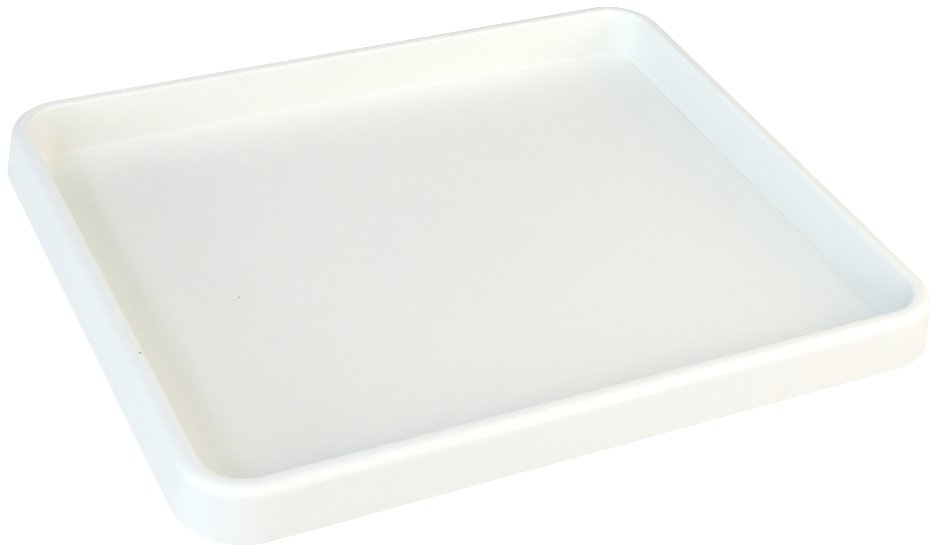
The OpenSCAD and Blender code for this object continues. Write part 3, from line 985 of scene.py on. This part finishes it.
def grip_mesh():
    """The rubber grip: a barrel with rings moulded into it, cut across into pads, and two mould seams."""
    grip_radius = grip_high.x
    collar_radius = 18.1 * MM
    core_radius = 13.5 * MM
    arc_radius = ((barrel_length / 2) ** 2 + BARREL_BULGE ** 2) / (2 * BARREL_BULGE)
    pitch = 7 * MM
    groove_count = math.floor(barrel_length / pitch) - 1
    grooves_reach = (groove_count - 1) / 2 * pitch
    groove_half = 1.3 * MM
    deepest = 0.95 * MM
    pads_around = 30
    end_round = 0.8 * MM

    def barrel(height):
        return grip_radius - arc_radius + math.sqrt(arc_radius ** 2 - (height - barrel_middle) ** 2)

    def groove_depth(height):
        from_middle = abs(height - barrel_middle)
        if from_middle > grooves_reach + groove_half:
            return 0.0
        away = math.remainder(from_middle - pitch / 2, pitch)
        if abs(away) > groove_half:
            return 0.0
        return deepest * math.cos(math.pi / 2 * away / groove_half) ** 2

    rows = 170
    outline = []
    for i in range(rows + 1):
        height = grip_low.z + barrel_length * i / rows
        to_end = min(height - grip_low.z, barrel_top - height)
        rounding = end_round - math.sqrt(end_round ** 2 - max(0, end_round - to_end) ** 2)
        outline.append((barrel(height) - rounding - groove_depth(height), height))
    outline += [(collar_radius, barrel_top + 0.05 * MM), (collar_radius, grip_high.z),
                (core_radius, grip_high.z), (core_radius, grip_low.z)]

    def padded_out(angle, radius, height):
        to_end = min(height - grip_low.z, barrel_top - height)
        if radius < collar_radius - 0.2 * MM or to_end < end_round:
            return radius, height
        on_pads = min(1, max(0, (grooves_reach - abs(height - barrel_middle)) / (0.6 * MM)))
        on_land = 1 - groove_depth(height) / deepest
        cut_across = 0.42 * MM * on_pads * on_land * max(0, math.cos(pads_around * angle)) ** 6
        seam = 0.10 * MM * bell(math.remainder(angle - math.pi / 2, math.pi) * radius, 0.35 * MM)
        return min(radius - cut_across + seam, grip_radius), height

    return lathe("grip_padded", outline, 300, padded_out)


def end_cap_mesh():
    """The foot: a ring to stand on round a shallow recess, with scallops round its side, and its spigot."""
    low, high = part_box("end_cap")
    outer = high.x
    foot_top = low.z + 7 * MM
    spigot = 9 * MM
    recess = 16.4 * MM
    recess_depth = 0.8 * MM
    recess_top = low.z + recess_depth
    scallops = 24
    outline = filled(rounded([
        (0, recess_top, 0), (recess - recess_depth, recess_top, 0.5 * MM), (recess, low.z, 0.3 * MM),
        (outer, low.z, 2 * MM), (outer, foot_top, 1 * MM), (spigot, foot_top, 0.3 * MM),
        (spigot, high.z, 1 * MM), (0, high.z, 0)], 6), 0.6 * MM)

    def scalloped(angle, radius, height):
        if radius < outer - 1.2 * MM:
            return radius, height
        up = (height - low.z - 2 * MM) / (4 * MM)
        mask = max(0.0, math.sin(math.pi * min(1, max(0, up)))) ** 0.5
        return radius - 0.5 * MM * mask * (0.5 + 0.5 * math.cos(scallops * angle)) ** 2, height

    cap = lathe("end_cap_foot", outline, 240, scalloped)
    gate_low = low.z + 0.4 * MM
    gate_high = low.z + 1.4 * MM
    gate = lathe("gate_mark", rounded([(0, gate_low, 0), (1.6 * MM, gate_low, 0.15 * MM),
                                       (1.9 * MM, gate_high, 0.2 * MM), (0, gate_high, 0)]), 40)
    return union(cap, [gate])


# ---- assembly

# Each piece: its name, the function that makes its mesh, the angle above which its edges stay sharp, its
# body, its material, which is named as its slot, and the CAD node that it stands for
PIECES = [
    ("tray_moulding", tray_mesh, 32, TRAY, "tray_plastic", "tray"),
    ("handle_bolt_threaded", bolt_mesh, 30, TRAY, "zinc_steel", "handle_bolt"),
    ("jam_nut_turned", jam_nut_mesh, 20, TRAY, "zinc_steel", "jam_nut"),
    ("lock_washer_split", lock_washer_mesh, 40, TRAY, "spring_steel", "lock_washer"),
    ("mounting_plate_cast", mounting_plate_mesh, 32, TRAY, "cast_alloy", "mounting_plate"),
    ("plate_screws_pan", screws_mesh, 32, TRAY, "zinc_steel", "plate_screws"),
    ("screw_washers_flat", screw_washers_mesh, 40, TRAY, "zinc_steel", "screw_washers"),
    ("callus_guard_foam", guard_mesh, 50, GUARD, "guard_foam", "callus_guard"),
    ("ferrule_pressed", ferrule_mesh, 40, HANDLE, "ferrule_steel", "ferrule"),
    ("grip_ribbed", grip_mesh, 50, HANDLE, "grip_rubber", "grip_sleeve"),
    ("end_cap_foot", end_cap_mesh, 35, HANDLE, "black_nylon", "end_cap"),
]

# The CAD nodes that stay as they are and get a better material
REPAINTED = {"boss_inserts": "brass", "threaded_insert": "brass", "handle_core": "black_nylon"}


def build_object():
    """Makes every material once, then every piece."""
    materials = {"tray_plastic": tray_plastic(), "guard_foam": guard_foam(),
                 "black_nylon": black_nylon(), "grip_rubber": grip_rubber()}
    for name in METALS:
        materials[name] = metal(name)
    for name, make, angle, body, slot, node in PIECES:
        mesh = make()
        smooth(mesh, angle)
        mesh.materials.clear()
        mesh.materials.append(materials[slot])
        piece = placed(name, mesh)
        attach(piece, body)
        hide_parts(node)
    for node, slot in REPAINTED.items():
        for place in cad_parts[node].material_slots:
            place.material = materials[slot]


# ---- stage, light and camera

def build_stage():
    """A plain pale floor that sweeps up into a wall all round, well outside the lights."""
    material, tree, shader = principled("floor_paint")
    shader.inputs["Roughness"].default_value = 0.9
    shader.inputs["Specular IOR Level"].default_value = 0.1
    shader.inputs["Emission Color"].default_value = (1, 1, 1, 1)
    shader.inputs["Emission Strength"].default_value = 0.65
    grain = noise_at(tree, 30, 3, 0.5)
    tree.links.new(mixed(tree, grain, (0.93, 0.93, 0.93), (0.95, 0.95, 0.95)),
                   shader.inputs["Base Color"])
    reach = 5.0
    sweep = 1.5
    wall_height = 4.0
    profile = [(0, 0)] + arc((reach, sweep), sweep, -90, 0, 24) + [(reach + sweep, wall_height)]
    mesh = surface_of_turning("floor", profile, 128)
    mesh.materials.append(material)
    smooth(mesh, 60)
    floor = placed("floor", mesh)
    # The floor's glow isn't thrown back at the object, and the floor hides no light from it
    floor.visible_diffuse = False
    floor.visible_glossy = False
    floor.visible_shadow = False


def direction(azimuth, elevation):
    """The way to a place seen from the tray, in degrees: azimuth 0 is in front of it and 90 to its right."""
    a = math.radians(azimuth)
    e = math.radians(elevation)
    return Vector((math.sin(a) * math.cos(e), -math.cos(a) * math.cos(e), math.sin(e)))


# Each light: name, azimuth, elevation, distance, size, power, colour, and whether it makes highlights.
# Cool light comes from the left, warm light from the right and front, and neutral light from above.
LIGHTS = [
    ("left_cool", -80, 42, 2.6, 0.8, 17, (0.50, 0.68, 1.0), True),
    ("left_soft", -80, 12, 2.6, 1.1, 23.5, (0.92, 0.97, 1.0), True),
    ("right_warm", 60, 22, 1.2, 0.6, 4.7, (1.0, 0.87, 0.76), True),
    ("back_soft", 170, 12, 1.6, 0.7, 3, (1.0, 0.97, 0.9), True),
    ("front_soft", -30, 12, 1.6, 0.7, 4.9, (0.95, 0.98, 1.0), False),
    ("front_warm", 30, 36, 1.1, 0.5, 3.3, (1.0, 0.87, 0.79), False),
    ("top_soft", 30, 82, 1.6, 1.0, 8.0, (0.975, 1.0, 0.89), False),
]


def area_light(name, azimuth, elevation, distance, size, power, colour, highlights):
    """A soft round light that faces the tray."""
    target = Vector((0, 0, skirt_z))
    way = direction(azimuth, elevation)
    data = bpy.data.lights.new(name, "AREA")
    data.shape = "DISK"
    data.size = size
    data.energy = power
    data.color = colour
    light = placed(name, data)
    light.location = target + way * distance
    light.rotation_mode = "QUATERNION"
    light.rotation_quaternion = (-way).to_track_quat("-Z", "Y")
    light.visible_glossy = highlights


def build_world():
    """A dim surround that is brighter below, as a pale floor throws light back."""
    world = bpy.data.worlds.new("studio")
    world.use_nodes = True
    tree = world.node_tree
    background = tree.nodes["Background"]
    background.inputs["Color"].default_value = (1.0, 1.0, 1.0, 1)
    outwards = tree.nodes.new("ShaderNodeTexCoord")
    apart = tree.nodes.new("ShaderNodeSeparateXYZ")
    tree.links.new(outwards.outputs["Generated"], apart.inputs[0])
    tree.links.new(ramp(tree, apart.outputs["Z"], -0.15, 0.05, 0.78, 0.29), background.inputs["Strength"])
    bpy.context.scene.world = world


def build_lights():
    """The lights of the table above, shown without a film curve."""
    for light in LIGHTS:
        area_light(*light)
    bpy.context.scene.view_settings.view_transform = "Standard"


def build_camera():
    """A camera in front of the tray, to its left and above it, turned a little about its own axis."""
    roll = math.radians(5.87)
    distance = 4.9198 * half_length
    target = Vector((-0.0197 * half_length, -0.1245 * half_length, skirt_z))
    back = direction(azimuth=-29.22, elevation=37.3)
    level_right = (-back).cross(Vector((0, 0, 1))).normalized()
    level_up = back.cross(level_right)
    right = level_right * math.cos(roll) + level_up * math.sin(roll)
    up = level_up * math.cos(roll) - level_right * math.sin(roll)
    data = bpy.data.cameras.new("camera")
    data.sensor_width = 36
    data.lens = 73.73
    data.clip_start = 0.01
    data.clip_end = 50
    camera = placed("camera", data)
    place = Matrix((right, up, back)).transposed().to_4x4()
    place.translation = target + back * distance
    camera.matrix_world = place
    bpy.context.scene.camera = camera


build_camera()
build_stage()
build_world()
build_lights()
build_object()
